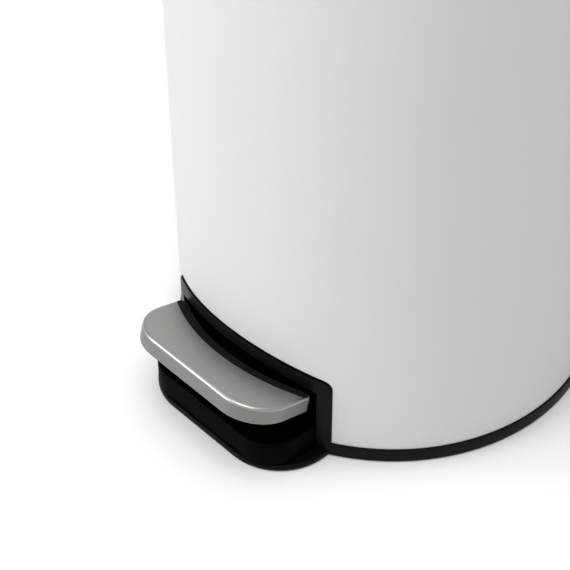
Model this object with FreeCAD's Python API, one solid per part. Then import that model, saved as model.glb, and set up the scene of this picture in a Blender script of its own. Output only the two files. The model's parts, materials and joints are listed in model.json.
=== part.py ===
"""Round pedal bin with a steel body, a lift-out bucket and a soft-close lid.

Millimetres, +Z up. The origin is on the body's axis, on the floor. The pedal
faces -Y and the lid is hinged at +Y. The lid is shut and the pedal is up.
"""
import FreeCAD, Part
import math
import os

V = FreeCAD.Vector
X_AXIS = V(1, 0, 0)
Y_AXIS = V(0, 1, 0)
Z_AXIS = V(0, 0, 1)


def ring_of(radius, angles):
    """(x, y) points on a circle, at angles in degrees from the front."""
    turns = [math.radians(a) for a in angles]
    return [(radius * math.sin(t), -radius * math.cos(t)) for t in turns]


# Body
BODY_R = 150.0                  # outside of the painted sheet
SHEET = 0.8
BODY_IN = BODY_R - SHEET
SHELL_Z0, SHELL_Z1 = 4.0, 580.0
TRIM_R = 151.4                  # outside of the base ring, surround and collar
FLOOR_GAP = 0.8                 # the rubber feet hold the mouldings this far up
RING_TOP = 11.8
RING_FLANGE_IN = 138.0
RING_FLANGE_TOP = 3.8
RING_WALL_IN = 147.3
SELF_TAP_R, SELF_TAP_TOP = 1.2, 14.0    # base screws: shank, and how high it reaches
TAP_HEAD_R, TAP_HEAD_TOP = 3.3, 2.4

# Base pan, on which the bucket stands
PAN_Z0, PAN_Z1 = 56.0, 59.0
PAN_R = 145.0
PAN_WALL = 3.0
PAN_RIB = 2.5
BUCKET_CURB = 3.0               # height of the rim that keeps the bucket central
WELL_HALF = 71.0                # the pan is cut back here for the pedal
ROD_NOTCH_HALF = 25.0           # and here for the rod's foot
BULKHEAD_Y = -112.0             # wall behind the pedal well, slotted for the lever
LEVER_SLOT = 19.0
LEVER_SLOT_Z0 = 26.0

# Pedal surround: an upside-down U with an arched top, seen from the front
BAND = 10.8
SUR_HALF = 75.7
SUR_MID_Z = 79.0
SUR_END_Z = 67.6
SUR_CORNER = 7.5
OPEN_HALF = SUR_HALF - BAND + 1.5
TUNNEL_WALL = 2.0
TUNNEL_R = 142.2

# Pedal foot: the low moulding that stands out under the pedal
FOOT_HALF, FOOT_FRONT = 74.9, -179.3    # of the lip at the floor
FOOT_CORNER = 43.0
LIP_TOP, LIP_EDGE = 4.8, 1.6
WALL_HALF = OPEN_HALF - 0.5             # of the wall that stands on the lip, between the legs
WALL_FRONT, WALL_CORNER = -177.5, 27.0
FOOT_WALL = 2.0
FOOT_BACK = -120.0
FOOT_TOP = 26.0
DECK_Z0, DECK_Z1 = 21.5, 24.0
FOOT_RIBS = (-30.0, 0.0, 30.0)
RIB_Z0 = 6.0
BOSS_R = 8.0

# Pedal and lever, each drawn level with the pivot at (0, 0), then tilted nose-up
PIVOT_Y, PIVOT_Z = -55.0, 36.1
TILT = 8.53                     # of the lever
PEDAL_TILT = 15.7               # of the pedal and the lever's bent front
PEDAL_HALF = 65.3
PEDAL_FRONT, PEDAL_BACK = -138.2, -84.7
PEDAL_CORNER, PEDAL_HEEL = 29.9, 3.5
PEDAL_TOP, SKIRT_Z = -3.6, -16.0
COVER_T = 1.0
COVER_EDGE = 2.4                # outside radius of the cap's top edge
COVER_ARC_R = 130.0             # the cap's top ends in a hollow arc, round the body
COVER_ARC_Y = -109.0 + COVER_ARC_R
COVER_RETURN = 5.0              # how far the cap turns in at its rear corners
CORE_STRIP = 8.0                # how far the core shows behind the cap's top
CORE_Z0 = SKIRT_Z + 2.4
LEVER_HALF, LEVER_T = 17.0, 2.0
WEB_Z0, WEB_Z1 = 4.2, 6.2
LEVER_FRONT, LEVER_BACK = -128.0, 201.5
FRONT_WEB_Z1 = PEDAL_TOP - 3.8  # the web under the pedal, in the pedal's own tilt
FRONT_WEB_Z0 = FRONT_WEB_Z1 - LEVER_T
FLANGE_DROP = 5.2
LEVER_SLOT_R = 2.3              # slots for the rod's lower pin, along the lever's flanges
LEVER_SLOT_Y, LEVER_SLOT_LONG = 193.6, 3.0
RIVET_R, RIVET_HEAD_R = 1.6, 3.0
RIVET_HEAD, RIVET_GRIP = 1.2, 1.8       # head's height, and how far the shank enters the core
PIN_R, PIN_HEAD_R = 3.0, 5.0
CLIP_R, CLIP_X = 6.0, 25.2      # retaining clip: outside, and where its face is
GROOVE_R = 2.2
BUSH_R, BUSH_COLLAR_R = 4.1, 5.6
BRACKET_X = 21.0                # inner face of the bracket's ears
BRACKET_T = 2.5
BRACKET_SCREW_R, BRACKET_HEAD_R = 1.5, 3.2
RUN = 0.05                      # radial running clearance of a pin in its bore

# Lift rod, damper and return spring, between the bucket and the shell
ROD_Y, ROD_R = 139.0, 2.5
ROD_FOOT_Z = PIVOT_Z - (ROD_Y - PIVOT_Y) * math.tan(math.radians(TILT))
ROD_PIN_R = 2.0
ROD_Z0 = 10.5
ROD_FOOT_HALF, ROD_FOOT_Z1 = 13.0, 18.0
ROD_CLEAR = 0.08                # radial clearance of the rod in its guides
GUIDE_NECK_R = 4.6
ARM_Z0, ARM_Z1 = 160.0, 166.0
MID_GUIDE_Z = 250.0
TOP_GUIDE_Z = 530.0
DAMPER_X, DAMPER_Y, DAMPER_R = 24.0, 138.0, 7.0
DAMPER_Z1, DAMPER_BORE_R = 155.0, 5.8
PISTON_Z0, PISTON_Z1 = 108.0, 112.0
PISTON_R, PISTON_ROD_R = 5.6, 2.0
DAMPER_CLIP_Z0, DAMPER_CLIP_Z1 = 92.0, 104.0

# Lid and its hinge
HINGE_Y, HINGE_Z = 160.9, 602.0
HINGE_PIN_R = 2.5
BARREL_R = 6.5
LID_OPEN = 78.0
SLOT_ANGLE = LID_OPEN / 2
ROD_PIN_Z = HINGE_Z - (HINGE_Y - ROD_Y) * math.tan(math.radians(SLOT_ANGLE))
LID_Z0, LID_SHOULDER_Z = 590.0, 600.0
LID_CORNER, LID_DOME_R = 14.0, 400.0
LID_SEAT, LINER_TOP = 592.0, 602.5
LID_SCREW_R = 2.0
COLLAR_Z0, COLLAR_Z1 = 580.0, 588.0
SPIGOT_R, SPIGOT_Z0 = 149.1, 566.0      # the collar's wall inside the shell
MOUTH_R = 136.5
HOUSING_HALF, HOUSING_Z0 = 34.0, 512.0
EAR_IN, EAR_OUT, EAR_R = 22.5, 32.0, 7.0
BLOCK_HALF = 21.5               # the lid's hinge barrel, between the ears
ARM_IN, ARM_OUT = 3.6, 7.0      # the two cheeks of the arm that the rod pushes

# Carry handle on the back; it stands out as far as the pedal does in front
HANDLE_OUT = -(PIVOT_Y + PEDAL_FRONT * math.cos(math.radians(PEDAL_TILT))
               + SKIRT_Z * math.sin(math.radians(PEDAL_TILT)))
HANDLE_T = 11.0
HANDLE_Z, HANDLE_H = 471.0, 20.0
HANDLE_HALF, HANDLE_LEG = 60.0, 14.0

# Bucket and its bail
BUCKET_R0, BUCKET_R1 = 124.0, 133.0
BUCKET_Z0, BUCKET_Z1 = PAN_Z1, 562.0
BUCKET_T = 2.0
RIM_R = 134.5
BAIL_Z = 567.5
BAIL_R, BAIL_SHIFT = 122.0, 3.0
WIRE_R = 2.0
GRIP_R = 5.0

# Fastener and pad places, as (x, y) below and (x, z) on the back
RING_FEET = ring_of(144.5, (50, 115, 152, 208, 245, 310))
FOOT_PADS = [(-45.0, -158.0), (45.0, -158.0)]
PAD_R, PAD_TOP = 6.0, 2.6
STOPS = [(-30.0, -157.0), (30.0, -157.0)]
STOP_TOP, STOP_PEG_R = 30.4, 3.0
BASE_SCREWS = ring_of(143.5, (70, 135, 225, 290))
BRACKET_SCREWS = [(x, PIVOT_Y + dy) for x in (-31.0, 31.0) for dy in (-7.0, 7.0)]
RIVETS = [(x, y) for x in (-9.0, 9.0) for y in (-122.0, -106.0)]
BUMPERS = ring_of(147.5, (45, 135, 225, 315))
BUMPER_R, BUMPER_HEAD_R, BUMPER_Z1 = 2.0, 2.7, 591.7
HINGE_PLATE_IN = 147.6
BACK_SCREW_R, BACK_HEAD_R, BACK_HEAD = 1.8, 3.6, 2.2
BACK_HOLE_R = 2.2
HOUSING_SCREWS = [(-20.0, 550.0), (20.0, 550.0), (-20.0, 526.0), (20.0, 526.0)]
HANDLE_SCREWS = [(-52.5, HANDLE_Z), (52.5, HANDLE_Z)]
LID_SCREWS = [(-14.0, 113.0), (14.0, 113.0)]


def box(x0, x1, y0, y1, z0, z1):
    return Part.makeBox(x1 - x0, y1 - y0, z1 - z0, V(x0, y0, z0))


def post(radius, z0, z1, x=0.0, y=0.0):
    return Part.makeCylinder(radius, z1 - z0, V(x, y, z0), Z_AXIS)


def bar_x(radius, x0, x1, y, z):
    return Part.makeCylinder(radius, x1 - x0, V(x0, y, z), X_AXIS)


def bar_y(radius, y0, y1, x, z):
    return Part.makeCylinder(radius, y1 - y0, V(x, y0, z), Y_AXIS)


def tube(outer, inner, z0, z1, x=0.0, y=0.0):
    return post(outer, z0, z1, x, y).cut(post(inner, z0, z1, x, y))


def polygon(points):
    return Part.Face(Part.makePolygon(points + points[:1]))


def turned(points):
    """A solid of revolution about Z from (radius, height) points."""
    return polygon([V(r, 0, z) for r, z in points]).revolve(V(0, 0, 0), Z_AXIS, 360)


def side_plate(points, x0, x1):
    """A plate from (y, z) points, running from x0 to x1."""
    return polygon([V(x0, y, z) for y, z in points]).extrude(V(x1 - x0, 0, 0))


def edges_where(shape, test):
    return [e for e in shape.Edges if test(e.CenterOfMass)]


def mirrored(shape):
    return shape.mirror(V(0, 0, 0), X_AXIS)


def arch_prism(half, mid_z, end_z, z0, corner=0.0):
    """The surround's arched outline, run through the front of the body."""
    y0, y1 = -170.0, -100.0
    arch = Part.Arc(V(-half, y0, end_z), V(0, y0, mid_z), V(half, y0, end_z)).toShape()
    right = Part.makeLine(V(half, y0, end_z), V(half, y0, z0))
    floor = Part.makeLine(V(half, y0, z0), V(-half, y0, z0))
    left = Part.makeLine(V(-half, y0, z0), V(-half, y0, end_z))
    prism = Part.Face(Part.Wire([arch, right, floor, left])).extrude(V(0, y1 - y0, 0))
    if corner:
        tops = edges_where(prism, lambda c: abs(abs(c.x) - half) < 0.01 and abs(c.z - end_z) < 0.01)
        prism = prism.makeFillet(corner, tops)
    return prism


def rounded_front(half, front, back, corner, heel, z0, z1):
    """A plan outline with rounded front corners and smaller rear ones, extruded."""
    prism = box(-half, half, front, back, z0, z1)
    noses = edges_where(prism, lambda c: abs(c.y - front) < 0.01 and abs(abs(c.x) - half) < 0.01)
    prism = prism.makeFillet(corner, noses)
    if heel:
        heels = edges_where(prism, lambda c: abs(c.y - back) < 0.01 and abs(abs(c.x) - half) < 0.01)
        prism = prism.makeFillet(heel, heels)
    return prism


# ---- body and base ----

def opening(grow, z0=-1.0):
    """The surround's mouth, larger all round by grow."""
    inset = BAND - grow
    return arch_prism(OPEN_HALF + grow, SUR_MID_Z - inset, SUR_END_Z - inset, z0)


def body_shell():
    shell = tube(BODY_R, BODY_IN, SHELL_Z0, SHELL_Z1)
    shell = shell.cut(opening(TUNNEL_WALL + 0.3))
    for x, z in HOUSING_SCREWS + HANDLE_SCREWS:
        shell = shell.cut(bar_y(BACK_HOLE_R, 130, 160, x, z))
    return shell


def base_ring():
    profile = [
        (RING_FLANGE_IN, FLOOR_GAP), (TRIM_R - 0.6, FLOOR_GAP), (TRIM_R, FLOOR_GAP + 0.6),
        (TRIM_R, RING_TOP - 0.6), (TRIM_R - 0.5, RING_TOP), (BODY_R, RING_TOP),
        (BODY_R, SHELL_Z0), (BODY_IN, SHELL_Z0), (BODY_IN, RING_TOP),
        (RING_WALL_IN, RING_TOP), (RING_WALL_IN, RING_FLANGE_TOP), (RING_FLANGE_IN, RING_FLANGE_TOP),
    ]
    ring = turned(profile)
    ring = ring.cut(box(-SUR_HALF - 0.1, SUR_HALF + 0.1, -160, -100, 0, 20))
    ring = ring.cut(box(-24, 24, 120, RING_WALL_IN - 2, 0, 20))
    for x, y in RING_FEET:
        ring = ring.cut(post(PAD_R, 0, PAD_TOP, x, y))
    for x, y in BASE_SCREWS:
        ring = ring.cut(post(TAP_HEAD_R + 0.2, 0, TAP_HEAD_TOP, x, y)).cut(post(SELF_TAP_R + 0.3, 0, 6, x, y))
    return ring


def base_pan():
    pan = post(PAN_R, PAN_Z0, PAN_Z1)
    pan = pan.fuse(tube(PAN_R, PAN_R - PAN_WALL, RING_FLANGE_TOP, PAN_Z1))
    half = PAN_RIB / 2
    for x in (-62.0, 62.0):
        pan = pan.fuse(box(x - half, x + half, -100, 100, 44, PAN_Z0))
    for y in (-88.0, 88.0):
        pan = pan.fuse(box(-90, 90, y - half, y + half, 50, PAN_Z0))
    pan = pan.fuse(tube(BUCKET_R0 + 4, BUCKET_R0 + 1.5, PAN_Z1, PAN_Z1 + BUCKET_CURB))
    pan = pan.cut(box(-WELL_HALF, WELL_HALF, -160, -124, 0, 80))
    wall_back = BULKHEAD_Y + PAN_WALL
    pan = pan.fuse(box(-WELL_HALF, WELL_HALF, BULKHEAD_Y, wall_back, RING_FLANGE_TOP, PAN_Z0))
    pan = pan.cut(box(-LEVER_SLOT, LEVER_SLOT, -130, BULKHEAD_Y + 5, LEVER_SLOT_Z0, PAN_Z0))
    pan = pan.cut(box(-ROD_NOTCH_HALF, ROD_NOTCH_HALF, 120, 160, 0, PAN_Z0))
    pan = pan.cut(post(GUIDE_NECK_R, 50, 70, 0, ROD_Y))
    for x, y in BASE_SCREWS:
        pan = pan.cut(post(SELF_TAP_R, 0, SELF_TAP_TOP, x, y))
    for x, y in BRACKET_SCREWS:
        pan = pan.cut(post(BRACKET_SCREW_R, 50, PAN_Z1 - 0.8, x, y))
    return pan


def pedal_surround():
    outline = arch_prism(SUR_HALF, SUR_MID_Z, SUR_END_Z, FLOOR_GAP, SUR_CORNER)
    band = outline.common(tube(TRIM_R, BODY_R, 0, 100))
    band = band.cut(opening(0.0))
    tunnel = opening(TUNNEL_WALL, FLOOR_GAP).common(tube(TRIM_R, TUNNEL_R, 0, 100))
    tunnel = tunnel.cut(opening(0.0))
    return band.fuse(tunnel).removeSplitter()


def foot_blank(inset, z0, z1):
    """The outline of the foot's wall, moved in by inset."""
    return rounded_front(WALL_HALF - inset, WALL_FRONT + inset, FOOT_BACK, WALL_CORNER - inset, 0, z0, z1)


def pedal_foot():
    """A wide lip at the floor and a narrower wall on it, closed by a sunk deck and hollow below."""
    lip = rounded_front(FOOT_HALF, FOOT_FRONT, FOOT_BACK, FOOT_CORNER, 0, FLOOR_GAP, LIP_TOP)
    rims = edges_where(lip, lambda c: abs(c.z - LIP_TOP) < 0.01 and c.y < FOOT_BACK - 1)
    foot = lip.makeFillet(LIP_EDGE, rims).fuse(foot_blank(0, FLOOR_GAP, FOOT_TOP))
    foot = foot.cut(foot_blank(FOOT_WALL, 0, DECK_Z0)).cut(foot_blank(FOOT_WALL, DECK_Z1, FOOT_TOP + 1))
    mouth = box(-WALL_HALF, WALL_HALF, -160, -100, 0, 40)
    foot = foot.cut(post(TRIM_R + 0.1, 0, 40).cut(mouth))
    for x in FOOT_RIBS:
        foot = foot.fuse(box(x - 1, x + 1, WALL_FRONT + 1, FOOT_BACK, RIB_Z0, DECK_Z0))
    for x, y in FOOT_PADS:
        foot = foot.fuse(post(BOSS_R, FLOOR_GAP, DECK_Z0, x, y)).cut(post(PAD_R, 0, PAD_TOP, x, y))
    for x, y in STOPS:
        foot = foot.cut(post(STOP_PEG_R, DECK_Z0 - 1, DECK_Z1 + 1, x, y))
    return foot.removeSplitter()


def rubber_feet():
    return [post(PAD_R, 0, PAD_TOP, x, y) for x, y in RING_FEET + FOOT_PADS]


def pedal_stops():
    pads = []
    for x, y in STOPS:
        peg = post(STOP_PEG_R, DECK_Z0 - 1, DECK_Z1, x, y)
        pads.append(post(PAD_R, DECK_Z1, STOP_TOP, x, y).fuse(peg))
    return pads


def base_screws():
    screws = []
    for x, y in BASE_SCREWS:
        slot = box(x - 2.5, x + 2.5, y - 0.5, y + 0.5, 0, 1.6)
        head = post(TAP_HEAD_R, 0.9, TAP_HEAD_TOP, x, y).cut(slot)
        screws.append(head.fuse(post(SELF_TAP_R, TAP_HEAD_TOP, SELF_TAP_TOP, x, y)))
    return screws


# ---- pedal mechanism ----

def tilted(shape, angle=TILT):
    """Puts a part drawn level at the pivot into its rest position."""
    shape.rotate(V(0, 0, 0), X_AXIS, -angle)
    shape.translate(V(0, PIVOT_Y, PIVOT_Z))
    return shape


def pedal_blank(inset, back, z0, z1, edge):
    blank = rounded_front(
        PEDAL_HALF - inset, PEDAL_FRONT + inset, back - inset,
        PEDAL_CORNER - inset, PEDAL_HEEL - inset, z0, z1)
    return blank.makeFillet(edge, edges_where(blank, lambda c: abs(c.z - z1) < 0.01))


def pedal_cover():
    """The pressed cap. Its top stops at a hollow arc; its sides run on and turn in behind."""
    cover = pedal_blank(0.0, PEDAL_BACK, SKIRT_Z, PEDAL_TOP, COVER_EDGE)
    cover = cover.cut(pedal_blank(COVER_T, PEDAL_BACK, SKIRT_Z - 1, PEDAL_TOP - COVER_T, COVER_EDGE - COVER_T))
    half = PEDAL_HALF - COVER_T
    above = box(-half, half, PEDAL_FRONT, PEDAL_BACK + 1, PEDAL_TOP - COVER_EDGE, PEDAL_TOP + 1)
    arc = post(COVER_ARC_R, PEDAL_TOP - COVER_EDGE, PEDAL_TOP + 1, 0, COVER_ARC_Y)
    half = PEDAL_HALF - COVER_RETURN
    rear = box(-half, half, PEDAL_BACK - 4, PEDAL_BACK + 1, SKIRT_Z - 1, PEDAL_TOP + 1)
    return tilted(cover.cut(above.common(arc)).cut(rear), PEDAL_TILT)


def pedal_core():
    """The moulding under the cap. A strip of its top shows behind the cap's hollow arc."""
    top = PEDAL_TOP - COVER_T
    core = pedal_blank(COVER_T, PEDAL_BACK, CORE_Z0, top, COVER_EDGE - COVER_T)
    core = core.cut(post(COVER_ARC_R - CORE_STRIP, CORE_Z0 - 1, top + 1, 0, COVER_ARC_Y))
    core = core.cut(box(-LEVER_HALF, LEVER_HALF, LEVER_FRONT, PEDAL_BACK, CORE_Z0 - 1, FRONT_WEB_Z1))
    pocket = box(41, 57, -118, -98, CORE_Z0 - 1, top - 3)
    core = core.cut(pocket).cut(mirrored(pocket))
    for x, y in RIVETS:
        core = core.cut(post(RIVET_R, FRONT_WEB_Z0, FRONT_WEB_Z1 + RIVET_GRIP, x, y))
    return tilted(core, PEDAL_TILT)


def under_pedal(y, z):
    """A (y, z) point drawn in the pedal's tilt, as it is in the lever's."""
    turn = math.radians(PEDAL_TILT - TILT)
    return y * math.cos(turn) + z * math.sin(turn), z * math.cos(turn) - y * math.sin(turn)


def pedal_lever():
    """A folded channel: level from the rod to the pan's front, then bent up under the pedal."""
    bend = PEDAL_BACK + 0.7
    knee = bend + 12.0
    top = [(LEVER_BACK, WEB_Z1), (knee, WEB_Z1), under_pedal(bend, FRONT_WEB_Z1),
           under_pedal(LEVER_FRONT, FRONT_WEB_Z1)]
    below = [under_pedal(LEVER_FRONT, FRONT_WEB_Z0), under_pedal(bend, FRONT_WEB_Z0),
             (knee, WEB_Z0), (LEVER_BACK, WEB_Z0)]
    web = side_plate(top + below, -LEVER_HALF, LEVER_HALF)
    profile = below[:-1] + [
        (LEVER_BACK, WEB_Z0), (LEVER_BACK, -1.0), (LEVER_BACK - 1.5, -3.2), (40, -3.2), (14, -7.0), (-14, -7.0),
        (-40, -1.5), (knee, WEB_Z0 - FLANGE_DROP), under_pedal(bend, FRONT_WEB_Z0 - FLANGE_DROP),
        under_pedal(LEVER_FRONT, FRONT_WEB_Z0 - FLANGE_DROP),
    ]
    flange = side_plate(profile, LEVER_HALF - LEVER_T, LEVER_HALF)
    lever = web.fuse(flange).fuse(mirrored(flange))
    lever = lever.cut(box(-14.5, 14.5, 186, 210, WEB_Z0 - 1, WEB_Z1 + 1))
    lever = lever.cut(bar_x(BUSH_R, -20, 20, 0, 0))
    r, y0, y1 = LEVER_SLOT_R, LEVER_SLOT_Y, LEVER_SLOT_Y + LEVER_SLOT_LONG
    slot = bar_x(r, -20, 20, y0, 0).fuse(bar_x(r, -20, 20, y1, 0)).fuse(box(-20, 20, y0, y1, -r, r))
    lever = lever.cut(slot)
    for x, y in RIVETS:
        hole = post(RIVET_R, FRONT_WEB_Z0 - 2, FRONT_WEB_Z1 + 2, x, y)
        hole.rotate(V(0, 0, 0), X_AXIS, TILT - PEDAL_TILT)
        lever = lever.cut(hole)
    for y in (-56.0, 50.0, 100.0, 150.0):
        lever = lever.cut(post(7.0, 3, 8, 0, y))
    return tilted(lever.removeSplitter())


def pedal_rivets():
    rivets = []
    for x, y in RIVETS:
        head = post(RIVET_HEAD_R, FRONT_WEB_Z0 - RIVET_HEAD, FRONT_WEB_Z0, x, y)
        shank = post(RIVET_R, FRONT_WEB_Z0, FRONT_WEB_Z1 + RIVET_GRIP, x, y)
        rivets.append(tilted(head.fuse(shank), PEDAL_TILT))
    return rivets


def pivot_bushes():
    collar = bar_x(BUSH_COLLAR_R, LEVER_HALF, BRACKET_X - 0.2, 0, 0)
    bush = bar_x(BUSH_R, 14, LEVER_HALF, 0, 0).fuse(collar)
    bush = bush.cut(bar_x(PIN_R + RUN, 10, 24, 0, 0))
    bush = bush.cut(box(14, LEVER_HALF, -6, 6, WEB_Z0, 8))
    other = mirrored(bush)
    return [tilted(bush), tilted(other)]


def clip_ring(outer):
    ring = bar_x(outer, CLIP_X, CLIP_X + 1, PIVOT_Y, PIVOT_Z)
    return ring.cut(bar_x(GROOVE_R, 25, 27, PIVOT_Y, PIVOT_Z))


def pedal_pivot_pin():
    pin = bar_x(PIN_R, -27, 27, PIVOT_Y, PIVOT_Z)
    pin = pin.fuse(bar_x(PIN_HEAD_R, -28.5, -27, PIVOT_Y, PIVOT_Z))
    return pin.cut(clip_ring(PIN_R))


def pivot_clip():
    return clip_ring(CLIP_R).cut(box(25, 27, PIVOT_Y - 2, PIVOT_Y + 2, PIVOT_Z - 8, PIVOT_Z))


def pedal_bracket():
    y, z = PIVOT_Y, PIVOT_Z
    ear = side_plate([(y - 9, z - 5), (y - 5, z - 9), (y + 5, z - 9), (y + 9, z - 5),
                      (y + 14, PAN_Z0), (y - 14, PAN_Z0)], BRACKET_X, BRACKET_X + BRACKET_T)
    ear = ear.fuse(box(BRACKET_X, 40, y - 14, y + 14, PAN_Z0 - BRACKET_T, PAN_Z0))
    ear = ear.cut(bar_x(PIN_R, 20, 25, y, z))
    web = box(-BRACKET_X, BRACKET_X, y - 14, y + 14, PAN_Z0 - 1.5, PAN_Z0)
    bracket = ear.fuse(mirrored(ear)).fuse(web)
    for x, sy in BRACKET_SCREWS:
        bracket = bracket.cut(post(BRACKET_SCREW_R, 50, 60, x, sy))
    return bracket.removeSplitter()


def bracket_screws():
    screws = []
    for x, y in BRACKET_SCREWS:
        z = PAN_Z0 - BRACKET_T
        head = post(BRACKET_HEAD_R, z - 2, z, x, y)
        screws.append(head.fuse(post(BRACKET_SCREW_R, z, PAN_Z1 - 0.8, x, y)))
    return screws


# ---- lift rod, damper, spring ----

def lift_rod():
    return post(ROD_R, ROD_Z0, ROD_PIN_Z - ROD_PIN_R - 0.5, 0, ROD_Y)


def rod_foot():
    z = ROD_FOOT_Z
    half, top = ROD_FOOT_HALF, ROD_FOOT_Z1
    foot = box(-half, half, ROD_Y - 6, ROD_Y + 5.0, z - 3.0, top)
    corners = edges_where(foot, lambda c: abs(abs(c.x) - half) < 0.01 and abs(c.z - top) < 0.01)
    foot = foot.makeFillet(2.0, corners)
    foot = foot.cut(bar_x(ROD_PIN_R, -20, 20, ROD_Y, z))
    return foot.cut(post(ROD_R, ROD_Z0, 30, 0, ROD_Y))


def rod_foot_pin():
    return bar_x(ROD_PIN_R, -19.5, 19.5, ROD_Y, ROD_FOOT_Z)


def rod_head():
    z = ROD_PIN_Z
    head = box(-3.2, 3.2, ROD_Y - 3.4, ROD_Y + 4, z - 14, z + 4.5)
    head = head.fuse(post(3.5, z - 26, z - 14, 0, ROD_Y))
    head = head.cut(bar_x(ROD_PIN_R, -10, 10, ROD_Y, z))
    return head.cut(post(ROD_R, z - 30, z - ROD_PIN_R - 0.5, 0, ROD_Y))


def rod_head_pin():
    return bar_x(ROD_PIN_R, -8.0, 8.0, ROD_Y, ROD_PIN_Z)


def damper_arm():
    arm = box(-6.5, DAMPER_X + 6, ROD_Y - 5, ROD_Y + 4.5, ARM_Z0, ARM_Z1)
    arm = arm.common(post(BODY_IN - 1.5, ARM_Z0, ARM_Z1))
    arm = arm.cut(post(ROD_R, ARM_Z0, ARM_Z1, 0, ROD_Y))
    return arm.cut(post(PISTON_ROD_R, ARM_Z0, ARM_Z1, DAMPER_X, DAMPER_Y))


def damper_rod():
    rod = post(PISTON_ROD_R, PISTON_Z1, ARM_Z1 + 1.5, DAMPER_X, DAMPER_Y)
    return rod.fuse(post(PISTON_R, PISTON_Z0, PISTON_Z1, DAMPER_X, DAMPER_Y))


def damper_cylinder():
    body = post(DAMPER_R, PAN_Z1, DAMPER_Z1, DAMPER_X, DAMPER_Y)
    body = body.cut(post(DAMPER_BORE_R, PAN_Z1 + 3, DAMPER_Z1 - 4, DAMPER_X, DAMPER_Y))
    return body.cut(post(PISTON_ROD_R + 0.1, DAMPER_Z1 - 5, DAMPER_Z1 + 1, DAMPER_X, DAMPER_Y))


def damper_clip():
    z0, z1 = DAMPER_CLIP_Z0, DAMPER_CLIP_Z1
    pad = box(DAMPER_X - 6, DAMPER_X + 6, DAMPER_Y, 150, z0, z1)
    pad = pad.cut(post(DAMPER_R, z0, z1, DAMPER_X, DAMPER_Y))
    clip = tube(DAMPER_R + 1.6, DAMPER_R, z0, z1, DAMPER_X, DAMPER_Y).fuse(pad)
    return clip.common(post(BODY_IN, z0, z1))


def return_spring():
    turns, wire, radius = 13, 0.7, 5.0
    z0, z1 = ARM_Z1 + wire, MID_GUIDE_Z - wire
    helix = Part.makeHelix((z1 - z0) / turns, z1 - z0, radius)
    start = V(radius, 0, 0)
    section = Part.Wire([Part.makeCircle(wire, start, Y_AXIS)])
    coil = Part.Wire(helix).makePipeShell([section], True, True)
    coil.translate(V(0, ROD_Y, z0))
    return coil


def guide_block(z0, z1, y0):
    block = box(-11, 11, y0, 150, z0, z1).common(post(BODY_IN, z0, z1))
    return block.cut(post(ROD_R + ROD_CLEAR, z0, z1, 0, ROD_Y))


def lower_rod_guide():
    guide = post(GUIDE_NECK_R, PAN_Z0 - 1.0, PAN_Z1, 0, ROD_Y)
    guide = guide.fuse(post(GUIDE_NECK_R + 1.9, PAN_Z1, PAN_Z1 + 2, 0, ROD_Y))
    guide = guide.common(post(BODY_IN - 0.5, 50, 70))
    return guide.cut(post(ROD_R + ROD_CLEAR, 50, 70, 0, ROD_Y))


def middle_rod_guide():
    return guide_block(MID_GUIDE_Z, MID_GUIDE_Z + 12, ROD_Y - 5.5)


def upper_rod_guide():
    guide = guide_block(TOP_GUIDE_Z, TOP_GUIDE_Z + 14, ROD_Y - 4.0)
    return guide.common(post(HINGE_PLATE_IN, 500, 600))


# ---- collar, hinge and back ----

def top_collar():
    profile = [
        (MOUTH_R, COLLAR_Z0), (RING_WALL_IN, COLLAR_Z0), (RING_WALL_IN, SPIGOT_Z0), (SPIGOT_R, SPIGOT_Z0),
        (SPIGOT_R, COLLAR_Z0), (TRIM_R, COLLAR_Z0), (TRIM_R, COLLAR_Z1 - 1.0),
        (TRIM_R - 1.0, COLLAR_Z1), (144.0, COLLAR_Z1), (141.5, COLLAR_Z0 + 3.5),
        (MOUTH_R, COLLAR_Z0 + 3.0),
    ]
    collar = turned(profile)
    collar = collar.cut(box(-10, 10, 120, 160, COLLAR_Z0 - 20, 600))
    for x, y in BUMPERS:
        collar = collar.cut(post(BUMPER_R, COLLAR_Z1 - 4, COLLAR_Z1 + 1, x, y))
    return collar


def lid_bumpers():
    pads = []
    for x, y in BUMPERS:
        peg = post(BUMPER_R, COLLAR_Z1 - 4, COLLAR_Z1, x, y)
        pads.append(peg.fuse(post(BUMPER_HEAD_R, COLLAR_Z1, BUMPER_Z1, x, y)))
    return pads


def hinge_plate():
    plate = tube(BODY_IN, HINGE_PLATE_IN, 522, 562).common(box(-31, 31, 100, 160, 500, 600))
    for x, z in HOUSING_SCREWS:
        plate = plate.cut(bar_y(BACK_HOLE_R, 140, 155, x, z))
    return plate


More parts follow.
